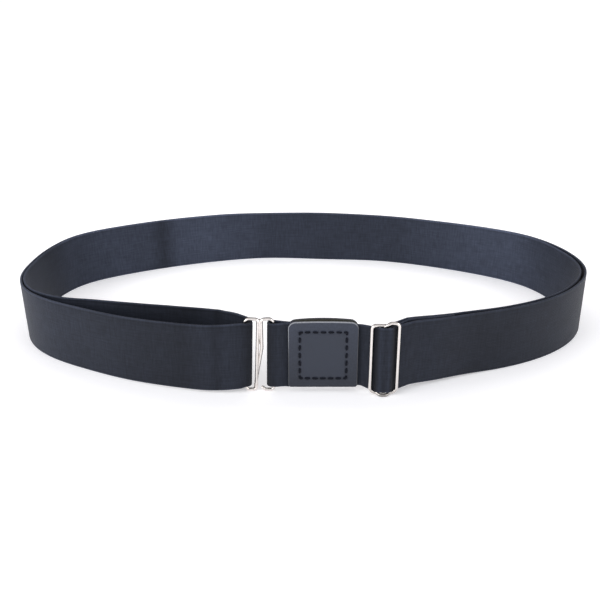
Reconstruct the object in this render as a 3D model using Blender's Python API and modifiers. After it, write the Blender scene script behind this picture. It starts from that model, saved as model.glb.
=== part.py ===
"""Elastic shirt-stay belt, standing on its edge as a closed loop.

One long strip of webbing runs twice round the loop. Its sewn end holds the slider's centre
bar, it goes round as the inner layer, folds on the hook's closed half, comes back round as
the outer layer, is threaded over the slider's centre bar, passes between two leather tabs,
folds on the open half of the hook and ends under the tabs.

Metres, +Z up. X runs along the front, +Y points to the back of the loop. The origin is the
middle of the bounding box, on the surface that the belt stands on.
"""

import math
from collections import namedtuple

import bmesh
import bpy
import numpy as np
from mathutils import Vector

MM = 0.001

# Webbing
WEB_WIDTH = 30.0 * MM
WEB_THICKNESS = 1.0 * MM
WEB_STEP = 5.0 * MM

# Gap between neighbours, and the layer pitch that it gives
GAP = 0.3 * MM
LAYER_PITCH = WEB_THICKNESS + GAP

# Wire of the hook and the slider, and the line that webbing takes round one of its bars
WIRE_RADIUS = 0.72 * MM
WIRE_FOOT_Z = WIRE_RADIUS
METAL_HEIGHT = 34.2 * MM
WIRE_TOP_Z = METAL_HEIGHT - WIRE_RADIUS
BAR_RADIUS = WIRE_RADIUS + GAP + WEB_THICKNESS / 2

# Hook: its depth, its two bars, and its two centre wires, which touch all the way down. The
# webbing lies a little loose round its bars.
HOOK_Y = 0.5 * MM
HOOK_LEFT_X = -22.7 * MM
HOOK_RIGHT_X = -11.1 * MM
HOOK_SLACK = 0.5 * MM
HOOK_WIRE_PITCH = 1.9 * WIRE_RADIUS
HOOK_CENTRE_X = -17.3 * MM
HOOK_CENTRE_FOOT_X = -18.6 * MM
HOOK_SLANT_FOOT_X = -19.3 * MM
HOOK_DIP = 0.4 * MM
HOOK_SLANT_Z = 20.0 * MM
HOOK_FREE_END_X = -16.3 * MM
HOOK_FREE_END_Z = 2.2 * MM
HOOK_TOP_BEND = 2.0 * MM
HOOK_TIGHT_BEND = 1.2 * MM
HOOK_SLANT_BEND = 10.0 * MM

# Slider: its side bars stand in front of its centre bar. Its foot bows forward and down round
# the end of that bar, its top dips there, and the webbing is pinched a little between them.
SLIDER_FRAME_Y = -3.2 * MM
SLIDER_BAR_Y = -1.4 * MM
SLIDER_LEFT_X = 29.4 * MM
SLIDER_RIGHT_X = 40.5 * MM
SLIDER_MID_X = (SLIDER_LEFT_X + SLIDER_RIGHT_X) / 2
SLIDER_FOOT_Z = WIRE_RADIUS + 0.5 * MM
SLIDER_LEFT_TOP_Z = 32.3 * MM
SLIDER_RIGHT_TOP_Z = 32.9 * MM
SLIDER_DIP = 1.0 * MM
SLIDER_DIP_Z = SLIDER_LEFT_TOP_Z - SLIDER_DIP
SLIDER_BOW_DEPTH = 1.0 * MM
SLIDER_BOW_WIDTH = 4.6 * MM
SLIDER_CORNER = 1.7 * MM
SLIDER_TIGHT_BEND = 1.0 * MM
SLIDER_WIRE_END = 0.8 * WIRE_RADIUS
SLIDER_SLACK = 0.1 * MM
SLIDER_WEB_LOW_Z = SLIDER_FOOT_Z + WIRE_RADIUS + GAP
SLIDER_WEB_HIGH_Z = SLIDER_LEFT_TOP_Z - WIRE_RADIUS - GAP
SEWN_HIGH_Z = SLIDER_DIP_Z - WIRE_RADIUS - GAP

# Flat-fronted bulge of the webbing where it crosses the slider in front of the centre bar
CROSSING_Y = -2.0 * MM
CROSSING_HALF = 1.0 * MM
CROSSING_RADIUS = 3.0 * MM

# Leather tabs
TAB_LEFT_X = -4.9 * MM
TAB_RIGHT_X = 24.2 * MM
TAB_LIFT = 2.65 * MM
TAB_HEIGHT = 30.0 * MM
TAB_THICKNESS = 1.0 * MM
TAB_TOP_CORNER = 3.0 * MM
TAB_FOOT_CORNER = 1.2 * MM
TAB_FRONT_Y = -1.3 * MM
TAB_EDGE_BEVEL = 0.25 * MM

# Webbing between the tabs: the depth of its two layers, and where it ends
RUN_Y = TAB_FRONT_Y + TAB_THICKNESS + GAP + WEB_THICKNESS / 2
RETURN_Y = RUN_Y + LAYER_PITCH
RETURN_END_X = 21.0 * MM
GUIDE_RADIUS = 4.5 * MM

# Lower and upper edge of the webbing along the front, from the hook to the slider
Edge = namedtuple("Edge", "x low high")
FRONT_EDGES = [
    Edge(HOOK_RIGHT_X, 3.0 * MM, 32.0 * MM),
    Edge(TAB_LEFT_X, 2.1 * MM, 31.6 * MM),
    Edge(TAB_RIGHT_X, 2.8 * MM, 31.0 * MM),
    Edge(SLIDER_LEFT_X, 2.7 * MM, 31.0 * MM),
    Edge(SLIDER_MID_X, SLIDER_WEB_LOW_Z, SLIDER_WEB_HIGH_Z),
    Edge(SLIDER_RIGHT_X, 2.6 * MM, SLIDER_WEB_HIGH_Z),
]

# The loop's outer layer in millimetres, from the hook round the left end, the back and the
# right end to the slider. x, y: middle of its lower edge. lean: how far its upper edge
# lies inwards. lift: height of its lower edge. spread: how far inwards the inner layer is.
Station = namedtuple("Station", "x y lean lift spread")
LOOP = [
    Station(-25.0, -1.8, 0.0, 2.3, 10.6),
    Station(-30.0, -2.1, 0.0, 1.9, 14.0),
    Station(-38.0, -1.8, 0.0, 1.5, 17.2),
    Station(-48.0, 0.6, 0.0, 1.1, 18.0),
    Station(-62.0, 5.2, 0.0, 0.6, 17.5),
    Station(-78.0, 11.6, 0.0, 0.2, 15.4),
    Station(-96.0, 20.8, 0.0, 0.0, 10.8),
    Station(-113.2, 31.2, -0.5, 0.0, 4.8),
    Station(-127.2, 44.8, -1.0, 0.0, 2.0),
    Station(-135.6, 61.6, -0.5, 0.0, 1.4),
    Station(-138.2, 84.0, 0.0, 0.0, 1.3),
    Station(-136.4, 109.0, 0.5, 0.0, 1.3),
    Station(-126.8, 131.5, -0.5, 0.0, 1.3),
    Station(-107.6, 148.0, -1.0, 0.0, 1.3),
    Station(-82.2, 162.2, -1.5, 0.0, 1.3),
    Station(-52.0, 174.2, -1.2, 0.0, 1.3),
    Station(-20.0, 181.0, 1.2, 0.0, 1.3),
    Station(14.0, 178.6, -1.5, 0.0, 1.3),
    Station(48.0, 175.4, 1.2, 0.0, 1.3),
    Station(80.0, 164.6, 2.0, 0.0, 1.3),
    Station(108.6, 149.0, 1.0, 0.0, 1.3),
    Station(131.5, 129.0, 0.0, 0.0, 1.6),
    Station(143.4, 101.5, 0.0, 0.0, 2.8),
    Station(143.6, 74.0, 0.0, 0.0, 2.6),
    Station(134.5, 54.2, 0.0, 0.0, 2.2),
    Station(116.0, 35.5, -0.8, 0.0, 1.9),
    Station(92.0, 22.0, -1.6, 0.2, 2.2),
    Station(68.0, 12.0, -2.4, 1.2, 3.0),
    Station(57.0, 6.6, -2.1, 1.8, 3.8),
    Station(46.0, 1.8, -1.4, 2.3, 4.2),
]
SEWN_TAIL = 22.0 * MM

# Where the inner layer bulges before it folds on the hook, measured from the hook's left bar
BULGE_X = -0.9 * MM
BULGE_Y = 3.4 * MM
BULGE_RADIUS = 2.0 * MM

Bar = namedtuple("Bar", "x y radius")


def clear_scene():
    for obj in list(bpy.data.objects):
        bpy.data.objects.remove(obj, do_unlink=True)


def make_collection(name):
    collection = bpy.data.collections.new(name)
    bpy.context.scene.collection.children.link(collection)
    return collection


def material(name, colour, roughness, metallic=0.0):
    mat = bpy.data.materials.new(name)
    mat.use_nodes = True
    shader = mat.node_tree.nodes["Principled BSDF"]
    shader.inputs["Base Color"].default_value = (*colour, 1.0)
    shader.inputs["Roughness"].default_value = roughness
    shader.inputs["Metallic"].default_value = metallic
    return mat


# Plan of the webbing


def leg_heading(start, end):
    """Heading of the straight leg between two bars; a positive radius has its bar on the left."""
    along = math.atan2(end.y - start.y, end.x - start.x)
    distance = math.hypot(end.x - start.x, end.y - start.y)
    return along - math.asin((end.radius - start.radius) / distance)


def touch_point(bar, heading):
    """Point where webbing of this heading runs beside the bar."""
    return (bar.x + bar.radius * math.sin(heading), bar.y - bar.radius * math.cos(heading))


def wrap(bars, arc_step=math.radians(20)):
    """Taut path over a row of bars. Its first and last entries are plain points."""
    headings = [leg_heading(a, b) for a, b in zip(bars, bars[1:])]
    points = [(bars[0].x, bars[0].y)]
    for bar, heading_in, heading_out in zip(bars[1:-1], headings, headings[1:]):
        turn = (heading_out - heading_in) % math.tau
        if bar.radius < 0:
            turn -= math.tau
        steps = max(1, round(abs(turn) / arc_step))
        points += [touch_point(bar, heading_in + turn * i / steps) for i in range(steps + 1)]
    points.append((bars[-1].x, bars[-1].y))
    return np.array(points)


def even_slopes(knots, values):
    """Slopes that keep a column between its table values, level where it stays the same."""
    rise = np.diff(values, axis=0) / np.diff(knots)[:, None]
    same_way = rise[:-1] * rise[1:] > 0
    total = np.where(same_way, rise[:-1] + rise[1:], 1)
    middle = np.where(same_way, 2 * rise[:-1] * rise[1:] / total, 0)
    return np.concatenate([rise[:1], middle, rise[-1:]])


def spline_slopes(knots, values, first_slope, last_slope):
    """Slopes of the smooth cubic through the values, with the end slopes given."""
    count = len(knots)
    widths = np.diff(knots)
    matrix = np.eye(count)
    target = np.zeros_like(values)
    target[0], target[-1] = first_slope, last_slope
    for i in range(1, count - 1):
        left, right = widths[i - 1], widths[i]
        matrix[i, i - 1:i + 2] = right, 2 * (left + right), left
        rise_left = (values[i] - values[i - 1]) / left
        rise_right = (values[i + 1] - values[i]) / right
        target[i] = 3 * (right * rise_left + left * rise_right)
    return np.linalg.solve(matrix, target)


def spline_samples(stations, first_heading, last_heading):
    """Rows of the station table, in metres, at even steps along the smooth loop, with headings."""
    rows = np.array(stations) * MM
    knots = np.concatenate([[0], np.cumsum(np.hypot(*np.diff(rows[:, :2], axis=0).T))])
    ends = [(math.cos(heading), math.sin(heading)) for heading in (first_heading, last_heading)]
    slopes = np.column_stack([
        spline_slopes(knots, rows[:, :2], *ends),
        even_slopes(knots, rows[:, 2:]),
    ])
    samples, tangents = [], []
    for t in np.linspace(0, knots[-1], round(knots[-1] / WEB_STEP) + 1):
        i = min(np.searchsorted(knots, t, side="right") - 1, len(knots) - 2)
        width = knots[i + 1] - knots[i]
        u = (t - knots[i]) / width
        samples.append(
            rows[i] * (1 + 2 * u) * (1 - u) ** 2
            + rows[i + 1] * u * u * (3 - 2 * u)
            + width * slopes[i] * u * (1 - u) ** 2
            + width * slopes[i + 1] * u * u * (u - 1)
        )
        tangents.append(
            (rows[i + 1] - rows[i]) * 6 * u * (1 - u) / width
            + slopes[i] * (1 - u) * (1 - 3 * u)
            + slopes[i + 1] * u * (3 * u - 2)
        )
    return np.array(samples), np.array(tangents)[:, :2]


def at_height(plan, low, high):
    """Lower and upper edge above points of the plan."""
    edges = [np.column_stack([plan, np.broadcast_to(z, len(plan))]) for z in (low, high)]
    return np.stack(edges, axis=1)


def front_rows(plan):
    """Webbing held by the metal and the tabs, with its edges at the heights of FRONT_EDGES."""
    x, low, high = np.array(FRONT_EDGES).T
    return at_height(plan, np.interp(plan[:, 0], x, low), np.interp(plan[:, 0], x, high))


def plain_point(row):
    return Bar(row[0, 0], row[0, 1], 0)


def ribbon_rows():
    """Lower and upper edge of the webbing's middle surface, from the sewn tail to the end."""
    round_hook = BAR_RADIUS + HOOK_SLACK
    hook_left = Bar(HOOK_LEFT_X, HOOK_Y, -round_hook)
    hook_bulge = Bar(HOOK_LEFT_X + BULGE_X, HOOK_Y + BULGE_Y, -BULGE_RADIUS)
    hook_right = Bar(HOOK_RIGHT_X, HOOK_Y, -round_hook)
    beside_slider = BAR_RADIUS + SLIDER_SLACK
    slider_right = Bar(SLIDER_RIGHT_X, SLIDER_FRAME_Y, beside_slider)
    loop_start = Bar(LOOP[0].x * MM, LOOP[0].y * MM, 0)
    loop_end = Bar(LOOP[-1].x * MM, LOOP[-1].y * MM, 0)
    samples, tangents = spline_samples(
        LOOP, leg_heading(hook_left, loop_start), leg_heading(loop_end, slider_right)
    )
    inward = np.stack([tangents[:, 1], -tangents[:, 0]], axis=1)
    inward /= np.linalg.norm(inward, axis=1)[:, None]
    plan, lean, lift, spread = samples[:, :2], samples[:, 2], samples[:, 3], samples[:, 4]

    def layer(offset):
        rows = at_height(plan + inward * offset[:, None], lift, lift + WEB_WIDTH)
        rows[:, 1, :2] += inward * lean[:, None]
        return rows

    outer = layer(np.zeros(len(plan)))
    inner = layer(spread)[::-1]
    tail = layer(spread - LAYER_PITCH)[-round(SEWN_TAIL / WEB_STEP):]
    sewn_end = wrap([
        plain_point(tail[-1]),
        Bar(SLIDER_MID_X, SLIDER_BAR_Y, -BAR_RADIUS),
        plain_point(inner[0]),
    ])
    hook_fold = wrap([plain_point(inner[-1]), hook_bulge, hook_left, plain_point(outer[0])])
    front_run = wrap([
        plain_point(outer[-1]),
        slider_right,
        Bar(SLIDER_MID_X + CROSSING_HALF, CROSSING_Y, -CROSSING_RADIUS),
        Bar(SLIDER_MID_X - CROSSING_HALF, CROSSING_Y, -CROSSING_RADIUS),
        Bar(SLIDER_LEFT_X, SLIDER_FRAME_Y, beside_slider),
        Bar(TAB_RIGHT_X, RUN_Y - GUIDE_RADIUS, GUIDE_RADIUS),
        Bar(TAB_LEFT_X, RUN_Y - GUIDE_RADIUS, GUIDE_RADIUS),
        hook_right,
        Bar(TAB_LEFT_X, RETURN_Y + GUIDE_RADIUS, GUIDE_RADIUS),
        Bar(RETURN_END_X, RETURN_Y, 0),
    ])
    return np.concatenate([
        tail,
        at_height(sewn_end[1:-1], SLIDER_WEB_LOW_Z, SEWN_HIGH_Z),
        inner,
        front_rows(hook_fold[1:-1]),
        outer,
        front_rows(front_run[1:]),
    ])


def elastic_strap(collection):
    rows = ribbon_rows()
    mesh = bpy.data.meshes.new("elastic_strap")
    shape = bmesh.new()
    edges = [[shape.verts.new(point) for point in row] for row in rows]
    for (low_a, high_a), (low_b, high_b) in zip(edges, edges[1:]):
        shape.faces.new((low_a, low_b, high_b, high_a))
    shape.to_mesh(mesh)
    shape.free()
    strap = bpy.data.objects.new("elastic_strap", mesh)
    collection.objects.link(strap)
    wall = strap.modifiers.new("Wall", "SOLIDIFY")
    wall.thickness = WEB_THICKNESS
    wall.offset = 0
    wall.use_even_offset = True
    mesh.materials.append(material("black webbing", (0.035, 0.04, 0.05), 0.85))
    return strap


# Wire parts

Corner = namedtuple("Corner", "x y z radius")


def bent_wire(corners, arc_steps=5):
    """Centre line through the corners, each rounded to its own radius."""
    points = []
    for i, corner in enumerate(corners):
        at = Vector(corner[:3])
        if corner.radius == 0:
            points.append(at)
            continue
        before = (Vector(corners[i - 1][:3]) - at).normalized()
        after = (Vector(corners[(i + 1) % len(corners)][:3]) - at).normalized()
        half = before.angle(after) / 2
        centre = at + (before + after).normalized() * (corner.radius / math.sin(half))
        reach = corner.radius / math.tan(half)
        start = (at + before * reach - centre).normalized()
        end = (at + after * reach - centre).normalized()
        for step in range(arc_steps + 1):
            points.append(centre + corner.radius * start.slerp(end, step / arc_steps))
    return points


def wire_mesh(name, corners, cyclic=False):
    """Closed mesh of a bent wire; the curve that it is made from is removed."""
    curve = bpy.data.curves.new(name, "CURVE")
    curve.dimensions = "3D"
    curve.bevel_depth = WIRE_RADIUS
    curve.bevel_resolution = 2
    curve.use_fill_caps = not cyclic
    spline = curve.splines.new("POLY")
    points = bent_wire(corners)
    spline.points.add(len(points) - 1)
    for target, point in zip(spline.points, points):
        target.co = (*point, 1)
    spline.use_cyclic_u = cyclic
    guide = bpy.data.objects.new(name, curve)
    bpy.context.scene.collection.objects.link(guide)
    evaluated = guide.evaluated_get(bpy.context.evaluated_depsgraph_get())
    mesh = bpy.data.meshes.new_from_object(evaluated)
    bpy.data.objects.remove(guide)
    shape = bmesh.new()
    shape.from_mesh(mesh)
    bmesh.ops.remove_doubles(shape, verts=shape.verts, dist=WIRE_RADIUS / 100)
    shape.to_mesh(mesh)
    shape.free()
    mesh.shade_smooth()
    mesh.set_sharp_from_angle(angle=math.radians(50))
    return mesh


def soldered(name, first_mesh, second_mesh, collection, cutters):
    """One object from two wire meshes, the second joined to the first where they touch."""
    first_mesh.materials.append(material(f"nickel wire of {name}", (0.78, 0.76, 0.74), 0.25, 1.0))
    piece = bpy.data.objects.new(name, first_mesh)
    collection.objects.link(piece)
    added = bpy.data.objects.new(f"{name}_second_wire", second_mesh)
    added.hide_render = True
    added.display_type = "WIRE"
    cutters.objects.link(added)
    joint = piece.modifiers.new("Solder", "BOOLEAN")
    joint.operation = "UNION"
    joint.solver = "EXACT"
    joint.object = added
    return piece, added


def hook_clasp(collection, cutters):
    """Closed half on the left, open hook on the right, both held by their centre wires."""
    dip_z = WIRE_TOP_Z - HOOK_DIP
    hook_wire_x = HOOK_CENTRE_X + HOOK_WIRE_PITCH
    behind = HOOK_Y + WIRE_RADIUS
    closed_half = wire_mesh("hook_closed_half", [
        Corner(HOOK_LEFT_X, HOOK_Y, WIRE_FOOT_Z, HOOK_TIGHT_BEND),
        Corner(HOOK_LEFT_X, HOOK_Y, WIRE_TOP_Z, HOOK_TOP_BEND),
        Corner(HOOK_CENTRE_X, HOOK_Y, dip_z, HOOK_TIGHT_BEND),
        Corner(HOOK_CENTRE_FOOT_X, HOOK_Y, WIRE_FOOT_Z, HOOK_TIGHT_BEND),
    ], cyclic=True)
    open_half = wire_mesh("hook_open_half", [
        Corner(HOOK_FREE_END_X, HOOK_Y, HOOK_FREE_END_Z, 0),
        Corner(HOOK_FREE_END_X + 2 * WIRE_RADIUS, HOOK_Y, WIRE_FOOT_Z, HOOK_TIGHT_BEND),
        Corner(HOOK_RIGHT_X, HOOK_Y, WIRE_FOOT_Z, HOOK_TIGHT_BEND),
        Corner(HOOK_RIGHT_X, HOOK_Y, WIRE_TOP_Z, HOOK_TOP_BEND),
        Corner(hook_wire_x, HOOK_Y, dip_z, HOOK_TIGHT_BEND),
        Corner(hook_wire_x, HOOK_Y, HOOK_SLANT_Z, HOOK_SLANT_BEND),
        Corner(HOOK_SLANT_FOOT_X, behind, WIRE_FOOT_Z, 0),
    ])
    return soldered("hook_clasp", closed_half, open_half, collection, cutters)


def slider(collection, cutters):
    """Frame bent from one wire that starts and ends at the top, on the centre bar."""
    bow_left = SLIDER_MID_X - SLIDER_BOW_WIDTH / 2
    bow_right = SLIDER_MID_X + SLIDER_BOW_WIDTH / 2
    bow_y = SLIDER_FRAME_Y - SLIDER_BOW_DEPTH
    bend = SLIDER_TIGHT_BEND
    frame = wire_mesh("slider_frame", [
        Corner(SLIDER_MID_X - SLIDER_WIRE_END, SLIDER_FRAME_Y, SLIDER_DIP_Z, 0),
        Corner(bow_left, SLIDER_FRAME_Y, SLIDER_LEFT_TOP_Z, bend),
        Corner(SLIDER_LEFT_X, SLIDER_FRAME_Y, SLIDER_LEFT_TOP_Z, SLIDER_CORNER),
        Corner(SLIDER_LEFT_X, SLIDER_FRAME_Y, SLIDER_FOOT_Z, SLIDER_CORNER),
        Corner(bow_left, SLIDER_FRAME_Y, SLIDER_FOOT_Z, 0),
        Corner(SLIDER_MID_X - bend, bow_y, WIRE_FOOT_Z, bend),
        Corner(SLIDER_MID_X + bend, bow_y, WIRE_FOOT_Z, bend),
        Corner(bow_right, SLIDER_FRAME_Y, SLIDER_FOOT_Z, 0),
        Corner(SLIDER_RIGHT_X, SLIDER_FRAME_Y, SLIDER_FOOT_Z, SLIDER_CORNER),
        Corner(SLIDER_RIGHT_X, SLIDER_FRAME_Y, SLIDER_RIGHT_TOP_Z, SLIDER_CORNER),
        Corner(bow_right, SLIDER_FRAME_Y, SLIDER_RIGHT_TOP_Z, bend),
        Corner(SLIDER_MID_X + SLIDER_WIRE_END, SLIDER_FRAME_Y, SLIDER_DIP_Z, 0),
    ])
    centre_bar = wire_mesh("slider_centre_bar", [
        Corner(SLIDER_MID_X, SLIDER_FRAME_Y - WIRE_RADIUS / 2, SLIDER_DIP_Z, 0),
        Corner(SLIDER_MID_X, SLIDER_BAR_Y, SLIDER_DIP_Z, WIRE_RADIUS),
        Corner(SLIDER_MID_X, SLIDER_BAR_Y, SLIDER_FOOT_Z, WIRE_RADIUS),
        Corner(SLIDER_MID_X, bow_y, SLIDER_FOOT_Z, 0),
    ])
    return soldered("slider", frame, centre_bar, collection, cutters)


def tab_outline(width, height, corner_steps=6):
    """Outline of a tab about its middle, with its top corners rounder than its lower ones."""
    points = []
    for quarter in range(4):
        start = quarter * math.pi / 2
        side_x = 1 if quarter in (0, 3) else -1
        side_y = 1 if quarter in (0, 1) else -1
        radius = TAB_TOP_CORNER if side_y > 0 else TAB_FOOT_CORNER
        for step in range(corner_steps + 1):
            angle = start + step / corner_steps * math.pi / 2
            points.append((
                side_x * (width / 2 - radius) + radius * math.cos(angle),
                side_y * (height / 2 - radius) + radius * math.sin(angle),
            ))
    return points


def leather_tab(name, front_y, collection):
    """Flat tab that stands upright, its front face at the given depth."""
    curve = bpy.data.curves.new(name, "CURVE")
    curve.dimensions = "2D"
    curve.fill_mode = "BOTH"
    curve.extrude = TAB_THICKNESS / 2 - TAB_EDGE_BEVEL
    curve.bevel_depth = TAB_EDGE_BEVEL
    curve.bevel_resolution = 1
    curve.offset = -TAB_EDGE_BEVEL
    outline = tab_outline(TAB_RIGHT_X - TAB_LEFT_X, TAB_HEIGHT)
    spline = curve.splines.new("POLY")
    spline.points.add(len(outline) - 1)
    for target, point in zip(spline.points, outline):
        target.co = (*point, 0, 1)
    spline.use_cyclic_u = True
    curve.materials.append(material(f"leather of {name}", (0.06, 0.068, 0.08), 0.6))
    tab = bpy.data.objects.new(name, curve)
    tab.rotation_euler = (math.pi / 2, 0, 0)
    tab.location = (
        (TAB_LEFT_X + TAB_RIGHT_X) / 2,
        front_y + TAB_THICKNESS / 2,
        TAB_LIFT + TAB_HEIGHT / 2,
    )
    collection.objects.link(tab)
    return tab


def stand_on_origin(pieces, collection):
    """Parent the pieces to one empty, moved so that the origin is the middle of their foot."""
    bpy.context.view_layer.update()
    depsgraph = bpy.context.evaluated_depsgraph_get()
    points = []
    for piece in pieces:
        evaluated = piece.evaluated_get(depsgraph)
        points += [evaluated.matrix_world @ vertex.co for vertex in evaluated.to_mesh().vertices]
        evaluated.to_mesh_clear()
    low, high = np.min(points, axis=0), np.max(points, axis=0)
    root = bpy.data.objects.new("shirt_stay_root", None)
    root.location = (-(low[0] + high[0]) / 2, -(low[1] + high[1]) / 2, -low[2])
    collection.objects.link(root)
    for piece in pieces:
        piece.parent = root
    return root


def main():
    clear_scene()
    parts = make_collection("shirt_stay")
    cutters = make_collection("cutters")
    strap = elastic_strap(parts)
    hook, hook_second = hook_clasp(parts, cutters)
    slide, slide_second = slider(parts, cutters)
    front_tab = leather_tab("leather_tab_front", TAB_FRONT_Y, parts)
    back_y = RETURN_Y + WEB_THICKNESS / 2 + GAP
    back_tab = leather_tab("leather_tab_back", back_y, parts)
    pieces = [strap, hook, slide, front_tab, back_tab]
    root = stand_on_origin(pieces, parts)
    for added in (hook_second, slide_second):
        added.parent = root


main()
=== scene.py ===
"""Looks of the elastic shirt-stay belt: webbing, wire parts, leather tabs and thread.

Positions are first worked out in the same plan as the part's source, in metres, with X along
the front and Z = 0 where the belt stands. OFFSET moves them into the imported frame.
"""

import math
from collections import namedtuple

import bpy
import numpy as np
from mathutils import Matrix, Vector


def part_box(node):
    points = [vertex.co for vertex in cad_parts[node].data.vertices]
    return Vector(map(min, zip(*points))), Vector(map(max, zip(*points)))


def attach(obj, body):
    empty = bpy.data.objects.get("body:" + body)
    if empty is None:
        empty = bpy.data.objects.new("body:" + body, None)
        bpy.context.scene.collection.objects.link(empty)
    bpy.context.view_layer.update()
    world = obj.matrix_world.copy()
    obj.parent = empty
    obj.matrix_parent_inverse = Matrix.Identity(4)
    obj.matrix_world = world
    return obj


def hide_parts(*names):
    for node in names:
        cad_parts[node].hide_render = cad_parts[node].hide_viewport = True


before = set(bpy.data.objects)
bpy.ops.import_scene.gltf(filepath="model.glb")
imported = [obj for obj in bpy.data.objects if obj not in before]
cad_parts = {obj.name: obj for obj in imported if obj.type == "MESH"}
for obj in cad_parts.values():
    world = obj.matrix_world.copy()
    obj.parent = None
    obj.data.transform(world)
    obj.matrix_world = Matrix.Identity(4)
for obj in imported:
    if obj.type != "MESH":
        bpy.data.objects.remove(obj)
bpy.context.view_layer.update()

MM = 0.001

# Webbing
WEB_WIDTH = 30.0 * MM
WEB_THICKNESS = 1.0 * MM
WEB_STEP = 1.0 * MM
GAP = 0.3 * MM
LAYER_PITCH = WEB_THICKNESS + GAP

# Wire of the hook and the slider, and the line that webbing takes round one of its bars
WIRE_RADIUS = 0.72 * MM
WIRE_FOOT_Z = WIRE_RADIUS
METAL_HEIGHT = 34.2 * MM
WIRE_TOP_Z = METAL_HEIGHT - WIRE_RADIUS
BAR_RADIUS = WIRE_RADIUS + GAP + WEB_THICKNESS / 2

# Hook
HOOK_Y = 0.5 * MM
HOOK_LEFT_X = -22.7 * MM
HOOK_RIGHT_X = -11.1 * MM
HOOK_SLACK = 0.5 * MM
HOOK_WIRE_PITCH = 1.9 * WIRE_RADIUS
HOOK_CENTRE_X = -17.3 * MM
HOOK_CENTRE_FOOT_X = -18.6 * MM
HOOK_SLANT_FOOT_X = -19.3 * MM
HOOK_DIP = 0.4 * MM
HOOK_SLANT_Z = 20.0 * MM
HOOK_FREE_END_X = -16.3 * MM
HOOK_FREE_END_Z = 2.2 * MM
HOOK_TOP_BEND = 2.0 * MM
HOOK_TIGHT_BEND = 1.2 * MM
HOOK_SLANT_BEND = 10.0 * MM

# Solder between the hook's centre wires, in millimetres, from the top down
Solder = namedtuple("Solder", "height radius")
SOLDER_LINE = [
    Solder(33.2, 0.25),
    Solder(33.1, 0.6),
    Solder(32.6, 0.95),
    Solder(31.8, 1.0),
    Solder(30.6, 0.8),
    Solder(29.0, 0.62),
    Solder(26.0, 0.5),
    Solder(22.0, 0.3),
]

# Slider. Its frame's wire lies a little lower at the upper left than in the part's source, is
# rounder at the foot, and bows further forward there.
SLIDER_FRAME_Y = -3.2 * MM
SLIDER_BAR_Y = -1.4 * MM
SLIDER_LEFT_X = 29.4 * MM
SLIDER_RIGHT_X = 40.5 * MM
SLIDER_MID_X = (SLIDER_LEFT_X + SLIDER_RIGHT_X) / 2
SLIDER_FOOT_Z = WIRE_RADIUS + 0.5 * MM
SLIDER_LEFT_TOP_Z = 32.3 * MM
SLIDER_RIGHT_TOP_Z = 32.9 * MM
SLIDER_DIP = 1.0 * MM
SLIDER_DIP_Z = SLIDER_LEFT_TOP_Z - SLIDER_DIP
SLIDER_DIP_WIDTH = 4.6 * MM
SLIDER_DIP_BEND = 1.0 * MM
SLIDER_LEFT_WIRE_Z = SLIDER_LEFT_TOP_Z - 0.35 * MM
SLIDER_CORNER = 1.7 * MM
SLIDER_FOOT_CORNER = 2.3 * MM
SLIDER_SLACK = 0.1 * MM
SLIDER_WEB_LOW_Z = SLIDER_FOOT_Z + WIRE_RADIUS + GAP
SLIDER_WEB_HIGH_Z = SLIDER_LEFT_TOP_Z - WIRE_RADIUS - GAP
SEWN_HIGH_Z = SLIDER_DIP_Z - WIRE_RADIUS - GAP

# Bow at the slider's foot: its depth, its width at the frame and in front, and its bends
BOW_DEPTH = 1.7 * MM
BOW_WIDTH = 5.8 * MM
BOW_FRONT_WIDTH = 2.2 * MM
BOW_BEND = 2.0 * MM
BOW_SHOULDER_BEND = 0.6 * MM

# Where the bow is darkened with painted shade and made rougher: below this height, from slightly
# to fully by how far forward it is
BOW_SHADE_Z = 3.0 * MM
BOW_SHADE_Y = (0.3 * MM, 1.2 * MM)

# Ends of the slider's wire at its dip: how far right of it and behind it each lies
WireEnd = namedtuple("WireEnd", "right behind")
SLIDER_LEFT_END = WireEnd(0.2 * WIRE_RADIUS, 0.3 * WIRE_RADIUS)
SLIDER_RIGHT_END = WireEnd(-1.0 * WIRE_RADIUS, -0.6 * WIRE_RADIUS)

# Round end of a wire, and a pointed one's length and the share of its radius left at its tip
CAP_ANGLES = np.radians([85, 65, 40, 20])
POINT_LENGTH = 3 * WIRE_RADIUS
POINT_TIP = 0.35

# Bulge of the webbing in front of the slider's centre bar
CROSSING_Y = -2.9 * MM
CROSSING_HALF = 1.5 * MM
CROSSING_RADIUS = 1.9 * MM

# Leather tabs
TAB_LEFT_X = -4.9 * MM
TAB_RIGHT_X = 24.2 * MM
TAB_LIFT = 2.65 * MM
TAB_HEIGHT = 30.0 * MM
TAB_THICKNESS = 1.0 * MM
TAB_TOP_CORNER = 3.0 * MM
TAB_FOOT_CORNER = 1.2 * MM
TAB_FRONT_Y = -1.3 * MM
TAB_EDGE_BEVEL = 0.3 * MM

# Square of stitches on the tabs, about the tab's middle
STITCH_WIDTH = 19.5 * MM
STITCH_HEIGHT = 21.2 * MM
STITCH_SHIFT_Z = -0.3 * MM
STITCHES_PER_SIDE = 6
STITCH_LENGTH = 2.3 * MM
THREAD_RADIUS = 0.42 * MM
DENT_DEPTH = 0.3 * MM
DENT_WIDTH = 0.8 * MM

# Chance differences between the stitches: tilt, and share of the length
STITCH_SEED = 7
STITCH_TILT = math.radians(2.5)
STITCH_SHARES = (0.93, 1.05)

# Webbing between the tabs, on its way to the hook and back, and its bend beside them
RUN_Y = TAB_FRONT_Y + TAB_THICKNESS + GAP + WEB_THICKNESS / 2
RETURN_Y = RUN_Y + LAYER_PITCH
RETURN_END_X = 21.0 * MM
GUIDE_RADIUS = 4.5 * MM

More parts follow.
